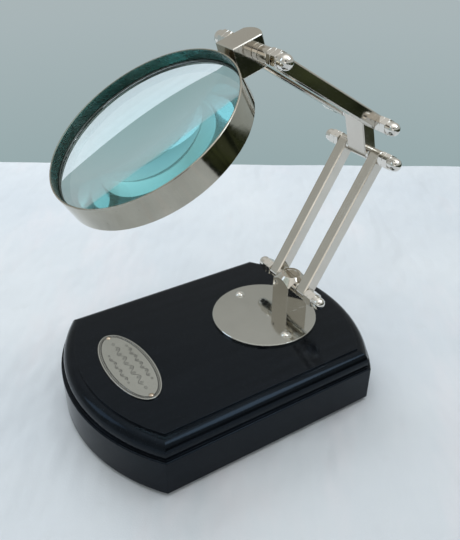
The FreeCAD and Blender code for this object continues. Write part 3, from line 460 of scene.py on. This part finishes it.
def ring_material():
    """The band's nickel, with its inner wall painted a mottled dark green: a painted reflection in place
    of the bright cloth that the clean mirror would show.
    """
    net = nickel_net("polished_nickel_band", bright=(0.50, 0.47, 0.40), dull=(0.41, 0.385, 0.32),
                     rough=(0.035, 0.075), lines=(0.08, 0.08, 1.0), line_depth=0.05)
    from_centre = net.add("ShaderNodeVectorMath", operation="SUBTRACT")
    net.join(net.place, from_centre.inputs[0])
    from_centre.inputs[1].default_value = middle_of("lens_ring")
    facing = net.add("ShaderNodeVectorMath", operation="DOT_PRODUCT")
    net.join(from_centre.outputs[0], facing.inputs[0])
    net.join(net.add("ShaderNodeTexCoord").outputs["Normal"], facing.inputs[1])
    inside = net.span(facing.outputs["Value"], 0.0, -0.02)
    patches = net.span(net.noise(130, 4), 0.3, 0.7)
    # Painted reflection: the inner wall gets a mottled dark green in place of the bright cloth it would
    # mirror.
    painted_wall_reflection = net.mix(patches, (0.110, 0.155, 0.135), (0.175, 0.235, 0.210))
    clean = net.shader.inputs["Base Color"].links[0].from_socket
    net.feed("Base Color", net.mix(inside, clean, painted_wall_reflection))
    gloss = net.shader.inputs["Roughness"].links[0].from_socket
    net.feed("Roughness", net.plus(gloss, net.times(inside, 0.20)))
    return net.material


def black_steel_material():
    """Blackened steel wire, a little brighter on its edges."""
    net = Net("blackened_spring_steel")
    bare_edge = (0.22, 0.22, 0.21)
    scale = net.noise(500, 4, 0.6)
    tone = net.mix(net.span(scale, 0.35, 0.7), (0.070, 0.085, 0.080), (0.130, 0.150, 0.142))
    tone = net.mix(net.times(net.edges(0.2 * MM), 0.5), tone, bare_edge)
    net.feed("Base Color", tone)
    net.set(Metallic=0.6)
    net.feed("Roughness", net.span(scale, 0.3, 0.7, 0.30, 0.45))
    net.feed("Normal", net.bump(scale, strength=0.2, distance=0.08 * MM))
    return net.material


def glass_material():
    """Clear glass that is green in depth, with a greasy film and a little dust."""
    net = Net("clear_lens_glass")
    net.set(Base_Color=(0.96, 0.985, 0.985, 1), Transmission_Weight=1.0, IOR=1.52)
    depth = net.add("ShaderNodeVolumeAbsorption")
    depth.inputs["Color"].default_value = (0.0, 0.86, 0.93, 1)
    depth.inputs["Density"].default_value = 12.5
    net.join(depth.outputs[0], net.tree.nodes["Material Output"].inputs["Volume"])
    film = net.span(net.noise(45, 5, 0.6), 0.50, 0.80, 0.0, 0.008)
    dust = net.span(net.noise(1900, 1, 0.4), 0.74, 0.80)
    net.feed("Roughness", net.plus(film, net.times(dust, 0.05)))
    return net.material


def engraving_material():
    """Sooty black filling of the nameplate's cut lines."""
    net = Net("black_filled_engraving")
    soot = net.noise(1500, 3)
    tone = net.mix(net.span(soot, 0.3, 0.7), (0.010, 0.010, 0.011), (0.035, 0.034, 0.032))
    net.feed("Base Color", tone)
    net.set(Roughness=0.55)
    net.feed("Normal", net.bump(soot, strength=0.3, distance=0.1 * MM))
    return net.material


def dress(node, material):
    """Give a CAD node its material through its own slots."""
    mesh = NODES[node].data
    if not mesh.materials:
        mesh.materials.append(material)
    for index in range(len(mesh.materials)):
        mesh.materials[index] = material


def dress_all():
    """A material for each of the record's slots, then a brassy one for the nameplate's worn pins."""
    plate = nickel_net("polished_nickel_plate", bright=(0.535, 0.540, 0.510), dull=(0.495, 0.500, 0.470),
                       rough=(0.055, 0.10), lines=(1.0, 0.05, 1.0), line_depth=0.05)
    bar = nickel_net("drawn_nickel_bar", bright=(0.67, 0.635, 0.575), dull=(0.61, 0.575, 0.515),
                     rough=(0.05, 0.11), lines=(1.0, 0.06, 0.06), line_depth=0.10)
    polished = nickel_net("polished_nickel", bright=(0.80, 0.775, 0.73), dull=(0.72, 0.69, 0.64),
                          rough=(0.03, 0.08))
    nameplate = nickel_net("satin_nameplate", bright=(0.50, 0.51, 0.48), dull=(0.45, 0.46, 0.43),
                           rough=(0.14, 0.22), lines=(0.05, 1.0, 1.0), line_depth=0.12)
    zinc = nickel_net("zinc_plated_steel", bright=(0.58, 0.575, 0.56), dull=(0.48, 0.475, 0.46),
                      rough=(0.14, 0.26))
    brassy = nickel_net("worn_pin_plating", bright=(0.74, 0.62, 0.50), dull=(0.42, 0.33, 0.25),
                        rough=(0.08, 0.20))
    by_slot = {
        "lacquered_wood": lacquer_material(),
        "felt": felt_material(),
        "plate_nickel": plate.material,
        "satin_nickel": bar.material,
        "polished_nickel": polished.material,
        "ring_nickel": ring_material(),
        "nameplate_metal": nameplate.material,
        "zinc_steel": zinc.material,
        "black_steel": black_steel_material(),
        "lens_glass": glass_material(),
    }
    for part in frame["record"]["subparts"]:
        dress(part["node"], by_slot[part["material_slot"]])
    for side in ("right", "left"):
        dress("nameplate_pin_" + side, brassy.material)


# ---- nameplate engraving ----------------------------------------------------------

def ribbon(net, points, width, closed=False):
    """Add a thin closed slab that follows a flat path."""
    count = len(points)
    rows = []
    for index, point in enumerate(points):
        before = points[(index - 1) % count] if closed or index else point
        after = points[(index + 1) % count] if closed or index < count - 1 else point
        along = (after - before).normalized()
        side = Vector((-along.y, along.x, 0)) * width / 2
        corners = ((side, LINE_PROUD), (-side, LINE_PROUD), (-side, -LINE_SUNK), (side, -LINE_SUNK))
        rows.append([net.verts.new(point + offset + Vector((0, 0, rise))) for offset, rise in corners])
    last = count if closed else count - 1
    for index in range(last):
        here, there = rows[index], rows[(index + 1) % count]
        for k in range(4):
            net.faces.new((here[k], here[(k + 1) % 4], there[(k + 1) % 4], there[k]))
    if not closed:
        net.faces.new(rows[0][::-1])
        net.faces.new(rows[-1])


def oval(centre, half_x, half_y, steps):
    turns = [2 * math.pi * index / steps for index in range(steps)]
    return [centre + Vector((half_x * math.cos(turn), half_y * math.sin(turn), 0)) for turn in turns]


def lozenge(centre, half_x, half_y):
    corners = ((half_x, 0, 0), (0, half_y, 0), (-half_x, 0, 0), (0, -half_y, 0))
    return [centre + Vector(corner) for corner in corners]


def wave(centre, half_length, swing, waves, steps=120):
    """The stem of a running scroll."""
    runs = [2 * index / steps - 1 for index in range(steps + 1)]
    return [centre + Vector((half_length * run, swing * math.sin(math.pi * waves * run), 0))
            for run in runs]


def curl(centre, radius, start, turn, steps=44):
    """A tendril that winds inwards as it turns."""
    points = []
    for index in range(steps + 1):
        share = index / steps
        angle = start + turn * share * TENDRIL_TURNS * 2 * math.pi
        reach = radius * (1 - TENDRIL_CLOSING * share)
        points.append(centre + Vector((reach * math.cos(angle), reach * math.sin(angle), 0)))
    return points


def running_scroll(net, centre, half_length, swing, waves):
    """A stem with a tendril curled inside each of its bends and a lozenge beyond each end."""
    ribbon(net, wave(centre, half_length, swing, waves), LINE_WIDTH)
    for index in range(2 * waves):
        run = (index + 0.5) / waves - 1
        bend = math.sin(math.pi * waves * run)
        spot = centre + Vector((half_length * run, TENDRIL_SHIFT * swing * bend, 0))
        tendril = curl(spot, TENDRIL_RADIUS * swing, -bend * math.pi / 2, bend)
        ribbon(net, tendril, TENDRIL_WIDTH * LINE_WIDTH)
    for end in (-1, 1):
        spot = centre + Vector((end * (half_length + END_GAP * swing), 0, 0))
        tip = lozenge(spot, END_HALF_LENGTH * swing, END_HALF_HEIGHT * swing)
        ribbon(net, tip, LINE_WIDTH, closed=True)


def finish_engraving(name, net, material):
    bmesh.ops.recalc_face_normals(net, faces=net.faces)
    mesh = bpy.data.meshes.new(name)
    net.to_mesh(mesh)
    net.free()
    mesh.materials.append(material)
    piece = add_object(name, mesh)
    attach(piece, "base")


def make_nameplate_engraving():
    """A roped border and three rows of plain scrolls, where the owner's words would go."""
    low, high = (Vector(corner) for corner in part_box("nameplate"))
    centre = Vector(((low.x + high.x) / 2, (low.y + high.y) / 2, high.z))
    reach_x, reach_y = (high.x - low.x) / 2, (high.y - low.y) / 2
    material = engraving_material()

    def border(inset, steps):
        return oval(centre, reach_x - inset, reach_y - inset, steps)

    net = bmesh.new()
    for inset in (BORDER_OUTER_INSET, BORDER_INNER_INSET):
        ribbon(net, border(inset, steps=180), LINE_WIDTH, closed=True)
    start = border(BORDER_INNER_INSET, BORDER_HATCHES)
    end = border(BORDER_OUTER_INSET, BORDER_HATCHES)
    for index in range(BORDER_HATCHES):
        ribbon(net, [start[index], end[(index + 1) % BORDER_HATCHES]], HATCH_WIDTH)
    finish_engraving("nameplate_roped_border", net, material)
    net = bmesh.new()
    for place, reach, swing, waves in SCROLL_ROWS:
        spot = centre + Vector((0, place * reach_y, 0))
        running_scroll(net, spot, reach * reach_x, swing, waves)
    finish_engraving("nameplate_scrolls", net, material)


def let_light_through():
    """The lens turns light over inside itself many times near its edge, so paths may be long."""
    paths = bpy.context.scene.cycles
    paths.max_bounces = 24
    paths.glossy_bounces = 16
    paths.transmission_bounces = 24


bpy.context.scene.view_settings.view_transform = "Standard"
let_light_through()
make_camera()
make_lights()
make_floor()
dress_all()
make_nameplate_engraving()
